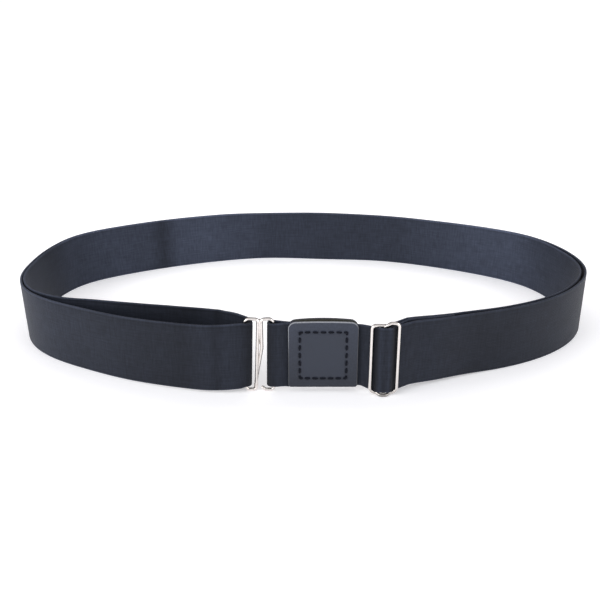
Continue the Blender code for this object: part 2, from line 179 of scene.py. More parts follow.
# How far the two folds on the hook lean along the front: where, and their foot's and top's shift
Lean = namedtuple("Lean", "x foot top")
FOLD_LEANS = [
    Lean(HOOK_LEFT_X + 2.0 * MM, -0.2 * MM, 0.75 * MM),
    Lean(HOOK_RIGHT_X - 2.0 * MM, -0.5 * MM, 0.0),
]
FOLD_REACH = 4.0 * MM
FOLD_DEPTH = 8.0 * MM

# Lower and upper edge of the webbing along the front, from the hook to the slider
Edge = namedtuple("Edge", "x low high")
FRONT_EDGES = [
    Edge(HOOK_RIGHT_X, 3.0 * MM, 32.0 * MM),
    Edge(TAB_LEFT_X, 2.1 * MM, 31.6 * MM),
    Edge(TAB_RIGHT_X, 2.8 * MM, 31.0 * MM),
    Edge(SLIDER_LEFT_X - 0.9 * MM, 2.7 * MM, 31.0 * MM),
    Edge(SLIDER_LEFT_X + 0.7 * MM, 1.6 * MM, 31.0 * MM),
    Edge(SLIDER_LEFT_X + 1.4 * MM, 2.05 * MM, 31.4 * MM),
    Edge(SLIDER_LEFT_X + 3.0 * MM, 2.05 * MM, 31.65 * MM),
    Edge(SLIDER_MID_X - 1.0 * MM, 2.05 * MM, SLIDER_WEB_HIGH_Z),
    Edge(SLIDER_RIGHT_X - 1.4 * MM, 2.05 * MM, SLIDER_WEB_HIGH_Z),
    Edge(SLIDER_RIGHT_X - 0.7 * MM, 1.6 * MM, SLIDER_WEB_HIGH_Z),
    Edge(SLIDER_RIGHT_X + 0.9 * MM, 2.6 * MM, SLIDER_WEB_HIGH_Z),
]

# The loop's outer layer in millimetres, as in the part's source: place, how far its top leans
# inward, height of its foot, and how far inside it the inner layer lies
Station = namedtuple("Station", "x y lean lift spread")
LOOP = [
    Station(-25.0, -1.8, 0.0, 2.3, 10.6),
    Station(-30.0, -2.1, 0.0, 1.9, 14.0),
    Station(-38.0, -1.8, 0.0, 1.5, 17.2),
    Station(-48.0, 0.6, 0.0, 1.1, 18.0),
    Station(-62.0, 5.2, 0.0, 0.6, 17.5),
    Station(-78.0, 11.6, 0.0, 0.2, 15.4),
    Station(-96.0, 20.8, 0.0, 0.0, 10.8),
    Station(-113.2, 31.2, -0.5, 0.0, 4.8),
    Station(-127.2, 44.8, -1.0, 0.0, 2.0),
    Station(-135.6, 61.6, -0.5, 0.0, 1.4),
    Station(-138.2, 84.0, 0.0, 0.0, 1.3),
    Station(-136.4, 109.0, 0.5, 0.0, 1.3),
    Station(-126.8, 131.5, -0.5, 0.0, 1.3),
    Station(-107.6, 148.0, -1.0, 0.0, 1.3),
    Station(-82.2, 162.2, -1.5, 0.0, 1.3),
    Station(-52.0, 174.2, -1.2, 0.0, 1.3),
    Station(-20.0, 181.0, 1.2, 0.0, 1.3),
    Station(14.0, 178.6, -1.5, 0.0, 1.3),
    Station(48.0, 175.4, 1.2, 0.0, 1.3),
    Station(80.0, 164.6, 2.0, 0.0, 1.3),
    Station(108.6, 149.0, 1.0, 0.0, 1.3),
    Station(131.5, 129.0, 0.0, 0.0, 1.6),
    Station(143.4, 101.5, 0.0, 0.0, 2.8),
    Station(143.6, 74.0, 0.0, 0.0, 2.6),
    Station(134.5, 54.2, 0.0, 0.0, 2.2),
    Station(116.0, 35.5, -0.8, 0.0, 1.9),
    Station(92.0, 22.0, -1.6, 0.2, 2.2),
    Station(68.0, 12.0, -2.4, 1.2, 3.0),
    Station(57.0, 6.6, -2.1, 1.8, 3.8),
    Station(46.0, 1.8, -1.4, 2.3, 4.2),
]
SEWN_TAIL = 22.0 * MM

# Bulge of the inner layer where it comes to the hook, measured from the hook's left bar
BULGE_X = -0.9 * MM
BULGE_Y = 3.4 * MM
BULGE_RADIUS = 2.0 * MM

# Half of the webbing's section in millimetres: distance in from its edge, and half thickness there
Selvedge = namedtuple("Selvedge", "inward half")
SELVEDGES = [
    Selvedge(0.0, 0.12),
    Selvedge(0.06, 0.30),
    Selvedge(0.2, 0.43),
    Selvedge(0.45, 0.5),
    Selvedge(0.9, 0.5),
    Selvedge(1.25, 0.43),
    Selvedge(1.6, 0.5),
    Selvedge(4.0, 0.5),
    Selvedge(9.0, 0.5),
]

# Camera in the plan above: distance in front of the tab, height, and angle below level
CAMERA_BACK = 283.0 * MM
CAMERA_HEIGHT = 154.2 * MM
CAMERA_DOWN = math.radians(21.65)
CAMERA_LENS = 45.0

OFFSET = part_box("leather_tab_front")[0] - Vector((TAB_LEFT_X, TAB_FRONT_Y, TAB_LIFT))

Bar = namedtuple("Bar", "x y radius")
Corner = namedtuple("Corner", "x y z radius")


# Plan of the webbing


def leg_heading(start, end):
    """Heading of the straight leg between two bars; a positive radius has its bar on the left."""
    along = math.atan2(end.y - start.y, end.x - start.x)
    distance = math.hypot(end.x - start.x, end.y - start.y)
    return along - math.asin((end.radius - start.radius) / distance)


def touch_point(bar, heading):
    """Point where webbing of this heading runs beside the bar."""
    return (bar.x + bar.radius * math.sin(heading), bar.y - bar.radius * math.cos(heading))


def wrap(bars, arc_step=math.radians(7)):
    """Taut path over a row of bars. Its first and last entries are plain points."""
    headings = [leg_heading(a, b) for a, b in zip(bars, bars[1:])]
    points = [(bars[0].x, bars[0].y)]
    for bar, heading_in, heading_out in zip(bars[1:-1], headings, headings[1:]):
        turn = (heading_out - heading_in) % math.tau
        if bar.radius < 0:
            turn -= math.tau
        steps = max(1, round(abs(turn) / arc_step))
        points += [touch_point(bar, heading_in + turn * i / steps) for i in range(steps + 1)]
    points.append((bars[-1].x, bars[-1].y))
    return np.array(points)


def even_slopes(knots, values):
    """Slopes that keep a column between its table values, level where it stays the same."""
    rise = np.diff(values, axis=0) / np.diff(knots)[:, None]
    same_way = rise[:-1] * rise[1:] > 0
    total = np.where(same_way, rise[:-1] + rise[1:], 1)
    middle = np.where(same_way, 2 * rise[:-1] * rise[1:] / total, 0)
    return np.concatenate([rise[:1], middle, rise[-1:]])


def spline_slopes(knots, values, first_slope, last_slope):
    """Slopes of the smooth cubic through the values, with the end slopes given."""
    count = len(knots)
    widths = np.diff(knots)
    matrix = np.eye(count)
    target = np.zeros_like(values)
    target[0], target[-1] = first_slope, last_slope
    for i in range(1, count - 1):
        left, right = widths[i - 1], widths[i]
        matrix[i, i - 1:i + 2] = right, 2 * (left + right), left
        rise_left = (values[i] - values[i - 1]) / left
        rise_right = (values[i + 1] - values[i]) / right
        target[i] = 3 * (right * rise_left + left * rise_right)
    return np.linalg.solve(matrix, target)


def spline_samples(stations, first_heading, last_heading):
    """Rows of the station table, in metres, at even steps along the smooth loop, with headings."""
    rows = np.array(stations) * MM
    knots = np.concatenate([[0], np.cumsum(np.hypot(*np.diff(rows[:, :2], axis=0).T))])
    ends = [(math.cos(heading), math.sin(heading)) for heading in (first_heading, last_heading)]
    slopes = np.column_stack([
        spline_slopes(knots, rows[:, :2], *ends),
        even_slopes(knots, rows[:, 2:]),
    ])
    samples, tangents = [], []
    for t in np.linspace(0, knots[-1], round(knots[-1] / WEB_STEP) + 1):
        i = min(np.searchsorted(knots, t, side="right") - 1, len(knots) - 2)
        width = knots[i + 1] - knots[i]
        u = (t - knots[i]) / width
        samples.append(
            rows[i] * (1 + 2 * u) * (1 - u) ** 2
            + rows[i + 1] * u * u * (3 - 2 * u)
            + width * slopes[i] * u * (1 - u) ** 2
            + width * slopes[i + 1] * u * u * (u - 1)
        )
        tangents.append(
            (rows[i + 1] - rows[i]) * 6 * u * (1 - u) / width
            + slopes[i] * (1 - u) * (1 - 3 * u)
            + slopes[i + 1] * u * (3 * u - 2)
        )
    return np.array(samples), np.array(tangents)[:, :2]


def at_height(plan, low, high):
    """Lower and upper edge above points of the plan."""
    edges = [np.column_stack([plan, np.broadcast_to(z, len(plan))]) for z in (low, high)]
    return np.stack(edges, axis=1)


def front_rows(plan):
    """Webbing held by the metal and the tabs, with its edges at the heights of FRONT_EDGES."""
    x, low, high = np.array(FRONT_EDGES).T
    return at_height(plan, np.interp(plan[:, 0], x, low), np.interp(plan[:, 0], x, high))


def plain_point(row):
    """The place of a row, as a path's plain point."""
    return Bar(row[0, 0], row[0, 1], 0)


def subdivided(rows):
    """The same rows with more between them, so that none is further than WEB_STEP from the next."""
    finer = [rows[:1]]
    for row, following in zip(rows, rows[1:]):
        distance = np.linalg.norm(following[0] - row[0])
        count = max(1, math.ceil(distance / WEB_STEP - 0.01))
        shares = np.arange(1, count + 1)[:, None, None] / count
        finer.append(row + (following - row) * shares)
    return np.concatenate(finer)


def leaned(rows):
    """The rows with the folds on the hook leaning, as FOLD_LEANS says."""
    x = rows[:, 0, 0].copy()
    at_front = rows[:, 0, 1] < FOLD_DEPTH
    for lean in FOLD_LEANS:
        share = np.exp(-((x - lean.x) / FOLD_REACH) ** 2) * at_front
        rows[:, 0, 0] += lean.foot * share
        rows[:, 1, 0] += lean.top * share
    return rows


def loop_layers(first_heading, last_heading):
    """Rows of the outer layer, of the inner one from its end back, and of the sewn tail between."""
    samples, tangents = spline_samples(LOOP, first_heading, last_heading)
    inward = np.stack([tangents[:, 1], -tangents[:, 0]], axis=1)
    inward /= np.linalg.norm(inward, axis=1)[:, None]
    plan, lean, lift, spread = samples[:, :2], samples[:, 2], samples[:, 3], samples[:, 4]

    def layer(offset):
        rows = at_height(plan + inward * offset[:, None], lift, lift + WEB_WIDTH)
        rows[:, 1, :2] += inward * lean[:, None]
        return rows

    outer = layer(np.zeros(len(plan)))
    inner = layer(spread)[::-1]
    tail = layer(spread - LAYER_PITCH)[-round(SEWN_TAIL / WEB_STEP):]
    return outer, inner, tail


def ribbon_rows():
    """Lower and upper edge of the webbing's middle surface, and the row where its inner layer starts."""
    round_hook = BAR_RADIUS + HOOK_SLACK
    hook_left = Bar(HOOK_LEFT_X, HOOK_Y, -round_hook)
    hook_bulge = Bar(HOOK_LEFT_X + BULGE_X, HOOK_Y + BULGE_Y, -BULGE_RADIUS)
    hook_right = Bar(HOOK_RIGHT_X, HOOK_Y, -round_hook)
    beside_slider = BAR_RADIUS + SLIDER_SLACK
    slider_right = Bar(SLIDER_RIGHT_X, SLIDER_FRAME_Y, beside_slider)
    loop_start = Bar(LOOP[0].x * MM, LOOP[0].y * MM, 0)
    loop_end = Bar(LOOP[-1].x * MM, LOOP[-1].y * MM, 0)
    outer, inner, tail = loop_layers(
        leg_heading(hook_left, loop_start), leg_heading(loop_end, slider_right)
    )
    sewn_end = wrap([
        plain_point(tail[-1]),
        Bar(SLIDER_MID_X, SLIDER_BAR_Y, -BAR_RADIUS),
        plain_point(inner[0]),
    ])
    hook_fold = wrap([plain_point(inner[-1]), hook_bulge, hook_left, plain_point(outer[0])])
    front_run = wrap([
        plain_point(outer[-1]),
        slider_right,
        Bar(SLIDER_MID_X + CROSSING_HALF, CROSSING_Y, -CROSSING_RADIUS),
        Bar(SLIDER_MID_X - CROSSING_HALF, CROSSING_Y, -CROSSING_RADIUS),
        Bar(SLIDER_LEFT_X, SLIDER_FRAME_Y, beside_slider),
        Bar(TAB_RIGHT_X, RUN_Y - GUIDE_RADIUS, GUIDE_RADIUS),
        Bar(TAB_LEFT_X, RUN_Y - GUIDE_RADIUS, GUIDE_RADIUS),
        hook_right,
        Bar(TAB_LEFT_X, RETURN_Y + GUIDE_RADIUS, GUIDE_RADIUS),
        Bar(RETURN_END_X, RETURN_Y, 0),
    ])
    round_bar = at_height(sewn_end[1:-1], SLIDER_WEB_LOW_Z, SEWN_HIGH_Z)
    before_inner = subdivided(np.concatenate([tail, round_bar, inner[:1]]))
    after_inner = subdivided(np.concatenate([
        inner,
        front_rows(hook_fold[1:-1]),
        outer,
        front_rows(front_run[1:]),
    ]))
    return leaned(np.concatenate([before_inner, after_inner[1:]])), len(before_inner) - 1


def running_length(points):
    """Length along a line up to each of its points."""
    return np.concatenate([[0], np.cumsum(np.linalg.norm(np.diff(points, axis=0), axis=1))])


def smooth_step(value, low, high):
    """From 0 at low to 1 at high, with soft ends."""
    share = np.clip((value - low) / (high - low), 0, 1)
    return share * share * (3 - 2 * share)


def ribbon_frames(rows):
    """Along the webbing: length so far, and the unit direction that its first face points in."""
    middle = rows.mean(axis=1)
    along = np.gradient(middle, axis=0)
    up = rows[:, 1] - rows[:, 0]
    facing = np.cross(along, up)
    facing /= np.linalg.norm(facing, axis=1)[:, None]
    return running_length(middle), facing


# Meshes


def new_object(name, data):
    made = bpy.data.objects.new(name, data)
    bpy.context.scene.collection.objects.link(made)
    return made


def new_piece(name, points, faces, materials, slot_name):
    """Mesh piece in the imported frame, shaded smooth, riding on the one body."""
    mesh = bpy.data.meshes.new(name)
    mesh.from_pydata([tuple(point) for point in points], [], faces)
    for item in materials:
        mesh.materials.append(item)
    mesh.shade_smooth()
    piece = new_object(name, mesh)
    piece.location = OFFSET
    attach(piece, "root")
    return piece


def ring_faces(rings, sides, closed=False):
    """Quads between rings of points, each ring closed round its own sides."""
    faces = []
    for i in range(rings if closed else rings - 1):
        here, there = i * sides, (i + 1) % rings * sides
        for j in range(sides):
            k = (j + 1) % sides
            faces.append((here + j, here + k, there + k, there + j))
    return faces


# A direction that no wire or thread starts along, from which a tube's sides are turned
TUBE_SIDE = (0.31, 0.95, 0.1)


def tube(points, radii, sides=14, closed=False):
    """Points and faces of a round tube along a line, with a radius at each point."""
    points = np.array(points)
    radii = np.broadcast_to(radii, len(points))
    if closed:
        along = np.roll(points, -1, axis=0) - np.roll(points, 1, axis=0)
    else:
        along = np.gradient(points, axis=0)
    along /= np.linalg.norm(along, axis=1)[:, None]
    side = np.cross(along[0], TUBE_SIDE)
    rings = []
    angles = np.arange(sides) / sides * math.tau
    for point, direction, radius in zip(points, along, radii):
        side = side - direction * (side @ direction)
        side /= np.linalg.norm(side)
        other = np.cross(direction, side)
        rings.append(point + radius * (np.outer(np.cos(angles), side) + np.outer(np.sin(angles), other)))
    faces = ring_faces(len(points), sides, closed)
    if not closed:
        faces.append(tuple(reversed(range(sides))))
        faces.append(tuple((len(points) - 1) * sides + j for j in range(sides)))
    return np.concatenate(rings), faces


def set_attribute(piece, name, values):
    """A number at each point of the piece's mesh, which its material reads."""
    piece.data.attributes.new(name, "FLOAT", "POINT").data.foreach_set("value", values)


def joined(shapes):
    """One list of points and one of faces from several."""
    points, faces, start = [], [], 0
    for shape_points, shape_faces in shapes:
        points.append(shape_points)
        faces += [tuple(start + i for i in face) for face in shape_faces]
        start += len(shape_points)
    return np.concatenate(points), faces


# Materials


class Nodes:
    """A node tree whose nodes are added one by one."""

    def __init__(self, tree):
        self.tree = tree

    def node(self, kind, inputs=(), **settings):
        made = self.tree.nodes.new(kind)
        for key, value in settings.items():
            setattr(made, key, value)
        for key, value in dict(inputs).items():
            if isinstance(value, bpy.types.NodeSocket):
                self.tree.links.new(value, made.inputs[key])
            else:
                made.inputs[key].default_value = value
        return made

    def math(self, operation, a, b=0.0):
        return self.node("ShaderNodeMath", {0: a, 1: b}, operation=operation).outputs[0]

    def product(self, first, *others):
        for other in others:
            first = self.math("MULTIPLY", first, other)
        return first

    def remap(self, value, low, high, new_low, new_high):
        numbers = {"Value": value, 1: low, 2: high, 3: new_low, 4: new_high}
        return self.node("ShaderNodeMapRange", numbers).outputs[0]

    def noise(self, place, scale, detail=3.0):
        """Noise along a vector, whose scale may differ along each of its axes."""
        if isinstance(scale, tuple):
            place = self.node("ShaderNodeVectorMath", {0: place, 1: scale}, operation="MULTIPLY").outputs[0]
            scale = 1.0
        return self.node("ShaderNodeTexNoise", {"Vector": place, "Scale": scale, "Detail": detail}).outputs[0]

    def spread(self, noise, low, high):
        """Noise, which is nearly all between 0.3 and 0.7, spread from one number to another."""
        return self.remap(noise, 0.3, 0.7, low, high)

    def place(self, output="Object"):
        """Position on the piece, in metres, or the direction in a world."""
        return self.node("ShaderNodeTexCoord").outputs[output]

    def split(self, vector):
        """The three numbers of a vector."""
        return self.node("ShaderNodeSeparateXYZ", {0: vector}).outputs

    def blend(self, share, first, second):
        mix = self.node("ShaderNodeMix", {0: share, 6: first, 7: second}, data_type="RGBA")
        return mix.outputs[2]

    def attribute(self, name):
        return self.node("ShaderNodeAttribute", attribute_name=name).outputs["Fac"]


class Shader(Nodes):
    """A material's nodes, with its Principled shader at the end."""

    def __init__(self, name, **values):
        self.material = bpy.data.materials.new(name)
        self.material.use_nodes = True
        super().__init__(self.material.node_tree)
        self.principled = self.tree.nodes["Principled BSDF"]
        for socket, value in values.items():
            self.principled.inputs[socket.replace("_", " ")].default_value = value

    def plug(self, socket, value):
        self.tree.links.new(value, self.principled.inputs[socket])

    def colour(self, colour, factor):
        """Base colour: one colour times a number that changes over the surface."""
        made = self.node("ShaderNodeVectorMath", {0: colour, "Scale": factor}, operation="SCALE")
        self.plug("Base Color", made.outputs[0])

    def bump(self, height, strength, distance):
        made = self.node("ShaderNodeBump", {"Height": height, "Strength": strength, "Distance": distance})
        self.plug("Normal", made.outputs[0])


WEB_COLOUR = (0.0155, 0.0186, 0.0285)
LEATHER_COLOUR = (0.022, 0.027, 0.042)
# The cut edge's colour is that of its painted highlight, darkened by a factor away from it
CUT_EDGE_COLOUR = (0.24, 0.25, 0.28)
FLESH_SIDE_COLOUR = (0.045, 0.045, 0.038)
THREAD_COLOUR = (0.008, 0.009, 0.014)
NICKEL_COLOUR = (0.77, 0.725, 0.695)

# Weave: pitch and share of its ribs and cords, the rim with its painted highlight, and the groove
# beside the rim with its painted shade
WEFT_PITCH = 0.6 * MM
WARP_PITCH = 0.8 * MM
WEFT_SHARE = 0.6
WARP_SHARE = 0.4
RIM = 0.35 * MM
RIM_HIGHLIGHT_GAIN = 1.8
GROOVE = 1.25 * MM
GROOVE_WIDTH = 0.3 * MM
GROOVE_SHADE_GAIN = 0.8

# Unevenness of the webbing: noise cells to the metre along and across it, detail, range of factor
Streak = namedtuple("Streak", "along across detail low high")
STREAKS = [
    Streak(1200.0, 160.0, 3.0, 0.83, 1.17),
    Streak(110.0, 1400.0, 3.0, 0.86, 1.14),
    Streak(55.0, 90.0, 2.0, 0.93, 1.07),
]

# Factors of the wire's colour and additions to its roughness: bright, and with painted shade at the bow
BOW_SHADE_COLOUR = (1.0, 0.4)
BOW_SHADE_ROUGHNESS = (0.0, 0.15)


def webbing_material():
    """Woven elastic: fine ribs across it, cords along it, soft streaks, a painted highlight on its rims,
    painted shade in its grooves, and painted light and shade along it.
    """
    shader = Shader(
        "webbing", Roughness=0.6, Sheen_Weight=0.06, Sheen_Roughness=0.4, Specular_IOR_Level=0.14
    )
    place = shader.node("ShaderNodeUVMap", uv_map="strip").outputs[0]
    along, across = shader.split(place)[:2]
    weft = shader.math("SINE", shader.math("MULTIPLY", along, math.tau / WEFT_PITCH))
    warp = shader.math("SINE", shader.math("MULTIPLY", across, math.tau / WARP_PITCH))
    weft_part = shader.math("MULTIPLY", weft, WEFT_SHARE)
    weave = shader.math("ADD", weft_part, shader.math("MULTIPLY", warp, WARP_SHARE))
    from_edge = shader.math("MINIMUM", across, shader.math("SUBTRACT", WEB_WIDTH, across))
    from_groove = shader.math("ABSOLUTE", shader.math("SUBTRACT", from_edge, GROOVE))
    shades = [shader.remap(weave, -1.0, 1.0, 0.90, 1.10)]
    for streak in STREAKS:
        noise = shader.noise(place, (streak.along, streak.across, 1.0), streak.detail)
        shades.append(shader.spread(noise, streak.low, streak.high))
    # Painted highlight along both rims, and painted shade in the groove beside each
    shades.append(shader.remap(from_edge, RIM, 2 * RIM, RIM_HIGHLIGHT_GAIN, 1.0))
    shades.append(shader.remap(from_groove, 0.0, GROOVE_WIDTH, GROOVE_SHADE_GAIN, 1.0))
    # Painted light and shade along the strip, from the two tables
    shades.append(shader.attribute("painted_light"))
    shader.colour(WEB_COLOUR, shader.product(*shades))
    shader.bump(weave, 0.5, 0.06 * MM)
    return shader.material


def nickel_material(name, has_bow_shade=False):
    """Bright plated wire with a little unevenness in its polish, darkened with painted shade and rougher
    where its attribute says.
    """
    shader = Shader(name, Base_Color=(*NICKEL_COLOUR, 1.0), Metallic=1.0)
    cloud = shader.noise(shader.place(), 900.0, detail=2.0)
    roughness = shader.spread(cloud, 0.12, 0.22)
    if has_bow_shade:
        # Painted shade at the bow's foot: a darker colour and more roughness
        bow_shade = shader.attribute("bow_shade")
        shader.colour(NICKEL_COLOUR, shader.remap(bow_shade, 0.0, 1.0, *BOW_SHADE_COLOUR))
        roughness = shader.math("ADD", roughness, shader.remap(bow_shade, 0.0, 1.0, *BOW_SHADE_ROUGHNESS))
    shader.plug("Roughness", roughness)
    shader.bump(cloud, 0.12, 0.02 * MM)
    return shader.material


def leather_material():
    """Dark leather: pores in its border, a smoother panel inside the square of stitches, and painted light
    and shade from its attribute.
    """
    shader = Shader("tab_leather", Sheen_Weight=0.05, Specular_IOR_Level=0.35)
    place = shader.place()
    grain = shader.attribute("grain")
    pores = shader.node("ShaderNodeTexVoronoi", {"Vector": place, "Scale": 1500.0}).outputs["Distance"]
    wrinkles = shader.noise(place, 800.0, detail=4.0)
    clouds = shader.noise(place, 200.0, detail=4.0)
    height = shader.math("ADD", pores, wrinkles)
    mottle = shader.product(grain, shader.remap(height, 0.5, 1.3, -0.14, 0.14))
    # Painted light and shade from the tab's attribute
    shades = [shader.spread(clouds, 0.95, 1.05), shader.attribute("painted_light"), shader.math("ADD", mottle, 1.0)]
    shader.colour(LEATHER_COLOUR, shader.product(*shades))
    shader.plug("Roughness", shader.spread(clouds, 0.48, 0.58))
    shader.bump(shader.product(height, shader.remap(grain, 0.0, 1.0, 0.15, 1.0)), 0.35, 0.06 * MM)
    return shader.material


def cut_edge_material():
    """The slightly fibrous cut edge of the leather, with a painted highlight where its attribute says."""
    shader = Shader("leather_cut_edge", Roughness=0.6)
    fibres = shader.noise(shader.place(), 1500.0)
    # Painted highlight on the cut edge, from its attribute
    factor = shader.product(shader.spread(fibres, 0.8, 1.15), shader.attribute("painted_highlight"))
    shader.colour(CUT_EDGE_COLOUR, factor)
    shader.bump(fibres, 0.3, 0.05 * MM)
    return shader.material


def flesh_side_material():
    """The rough inner side of the leather, which shows above the front tab."""
    shader = Shader("leather_flesh_side", Roughness=0.9, Specular_IOR_Level=0.2)
    fibres = shader.noise(shader.place(), 1200.0)
    shader.colour(FLESH_SIDE_COLOUR, shader.spread(fibres, 0.8, 1.2))
    shader.bump(fibres, 0.5, 0.08 * MM)
    return shader.material


def thread_material():
    """Dark sewing thread with the twist of its plies."""
    shader = Shader("thread", Roughness=0.9, Specular_IOR_Level=0.1)
    wave = {"Vector": shader.place(), "Scale": 700.0}
    plies = shader.node("ShaderNodeTexWave", wave, bands_direction="DIAGONAL").outputs["Fac"]
    shader.colour(THREAD_COLOUR, shader.remap(plies, 0.0, 1.0, 0.75, 1.25))
    shader.bump(plies, 0.4, 0.05 * MM)
    return shader.material


# Pieces

# Painted light and shade on the webbing along the back and the front of the loop, by plan x, as
# factors of its colour: painted shade in creases from packing and in the crevices beside the
# slider's bars, and painted light on bulging stretches that face the light
PaintedLight = namedtuple("PaintedLight", "x factor")
BACK_PAINTED_LIGHT = [
    PaintedLight(-138.0, 0.8),
    PaintedLight(-134.0, 1.3),
    PaintedLight(-131.0, 1.7),
    PaintedLight(-113.0, 2.3),
    PaintedLight(-92.0, 2.0),
    PaintedLight(-84.5, 1.2),
    PaintedLight(-76.0, 2.4),
    PaintedLight(-63.0, 2.7),
    PaintedLight(-19.0, 1.7),
    PaintedLight(19.0, 1.45),
    PaintedLight(60.0, 1.5),
    PaintedLight(92.0, 2.3),
    PaintedLight(123.0, 2.9),
    PaintedLight(138.0, 1.7),
    PaintedLight(145.0, 1.5),
]
FRONT_PAINTED_LIGHT = [
    PaintedLight(-140.0, 1.5),
    PaintedLight(-111.0, 1.25),
    PaintedLight(-86.0, 1.05),
    PaintedLight(-49.5, 0.7),
    PaintedLight(-38.0, 1.0),
    PaintedLight(-35.0, 0.75),
    PaintedLight(-31.0, 1.0),
    PaintedLight(-25.0, 0.9),
    PaintedLight(-22.0, 0.55),
    PaintedLight(-12.5, 0.55),
    PaintedLight(-9.5, 1.0),
    PaintedLight(-4.9, 0.9),
    PaintedLight(30.0, 0.9),
    PaintedLight(31.8, 0.3),
    PaintedLight(33.0, 1.25),
    PaintedLight(34.9, 0.8),
    PaintedLight(36.8, 1.25),
    PaintedLight(38.3, 0.3),
    PaintedLight(40.0, 0.9),
    PaintedLight(56.0, 1.0),
    PaintedLight(78.0, 0.75),
    PaintedLight(105.0, 0.85),
    PaintedLight(121.0, 0.95),
    PaintedLight(135.0, 1.0),
]
# Middle of the loop, front to back, and how far to each side of it the two tables are blended
BLEND_Y = 85.0 * MM
BLEND_REACH = 30.0 * MM


def painted_light_along(middle):
    """Painted light and shade of the webbing along its length, as a factor of its colour."""
    back_x, back_factor = np.array(BACK_PAINTED_LIGHT).T
    front_x, front_factor = np.array(FRONT_PAINTED_LIGHT).T
    back = np.interp(middle[:, 0], back_x * MM, back_factor)
    front = np.interp(middle[:, 0], front_x * MM, front_factor)
    share = smooth_step(middle[:, 1], BLEND_Y - BLEND_REACH, BLEND_Y + BLEND_REACH)
    return front + (back - front) * share


def strap_section():
    """Section of the webbing: share of its width, and depth, once round from its lower edge."""
    inward, half = np.array(SELVEDGES).T * MM
    across = np.concatenate([inward, [WEB_WIDTH / 2], WEB_WIDTH - inward[::-1]]) / WEB_WIDTH
    depth = np.concatenate([half, [WEB_THICKNESS / 2], half[::-1]])
    return np.concatenate([across, across[::-1]]), np.concatenate([depth, -depth[::-1]])


def elastic_webbing(rows, length, facing):
    """The whole strip as one closed mesh, with its own length and width as its map."""
    across, depth = strap_section()
    width = rows[:, 1] - rows[:, 0]
    rings = (
        rows[:, 0][:, None]
        + width[:, None] * across[None, :, None]
        + facing[:, None] * depth[None, :, None]
    )
    count, sides = len(rows), len(across)
    faces = ring_faces(count, sides)
    faces.append(tuple(reversed(range(sides))))
    faces.append(tuple((count - 1) * sides + j for j in range(sides)))
    strap = new_piece("elastic_webbing", rings.reshape(-1, 3), faces, [webbing_material()], "webbing")
    mesh = strap.data
    u = np.repeat(length, sides)
    v = np.tile(across * WEB_WIDTH, count)
    corners = np.empty(len(mesh.loops), dtype=int)
    mesh.loops.foreach_get("vertex_index", corners)
    place = mesh.uv_layers.new(name="strip")
    place.uv.foreach_set("vector", np.column_stack([u[corners], v[corners]]).ravel())
    # Painted light and shade along the strip, which the webbing's material multiplies into its colour
    set_attribute(strap, "painted_light", np.repeat(painted_light_along(rows.mean(axis=1)), sides))
    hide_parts("elastic_strap")


# Points of a wire that are nearer than this are one
SAME_PLACE = 1e-7


def bent_wire(corners, closed=False, arc_steps=10):
    """Centre line through the corners, each rounded to its own radius."""
    points = []
    for i, corner in enumerate(corners):
        at = Vector(corner[:3])
        if corner.radius == 0:
            points.append(at)
            continue
        before = (Vector(corners[i - 1][:3]) - at).normalized()
        after = (Vector(corners[(i + 1) % len(corners)][:3]) - at).normalized()
        half = before.angle(after) / 2
        centre = at + (before + after).normalized() * (corner.radius / math.sin(half))
        reach = corner.radius / math.tan(half)
        start = (at + before * reach - centre).normalized()
        end = (at + after * reach - centre).normalized()
        for step in range(arc_steps + 1):
            points.append(centre + corner.radius * start.slerp(end, step / arc_steps))
    if closed:
        points.append(points[0])
    line = np.array(points)
    keep = np.concatenate([[True], np.diff(running_length(line)) > SAME_PLACE])
    line = line[keep]
    return line[:-1] if closed else line


def round_end(end, following):
    """Line and radii of a wire's round end."""
    inward = (following - end) / np.linalg.norm(following - end)
    back = WIRE_RADIUS * (1 - np.sin(CAP_ANGLES))
    return end + inward * back[:, None], WIRE_RADIUS * np.cos(CAP_ANGLES)


def pointed(line, radii):
    """The same wire with more points, its last end tapering."""
    length = running_length(line)
    fine = np.linspace(0, length[-1], 4 * len(line))
    finer_line = np.column_stack([np.interp(fine, length, axis) for axis in line.T])
    share = POINT_TIP + (1 - POINT_TIP) * (fine[-1] - fine) / POINT_LENGTH
    return finer_line, np.minimum(np.interp(fine, length, radii), WIRE_RADIUS * share)


def wire(corners, closed=False, has_point=False):
    """A wire tube; an open one has round ends, and its last one may taper to a point."""
    line = bent_wire(corners, closed)
    if closed:
        return tube(line, WIRE_RADIUS, closed=True)
    first_line, first_radii = round_end(line[0], line[1])
    last_line, last_radii = round_end(line[-1], line[-2])
    past_first = np.linalg.norm(line - line[0], axis=1) > WIRE_RADIUS
    before_last = np.linalg.norm(line - line[-1], axis=1) > WIRE_RADIUS
    middle = line[past_first & before_last]
    line = np.concatenate([first_line, middle, last_line[::-1]])
    radii = np.concatenate([first_radii, np.full(len(middle), WIRE_RADIUS), last_radii[::-1]])
    if has_point:
        line, radii = pointed(line, radii)
    return tube(line, radii)


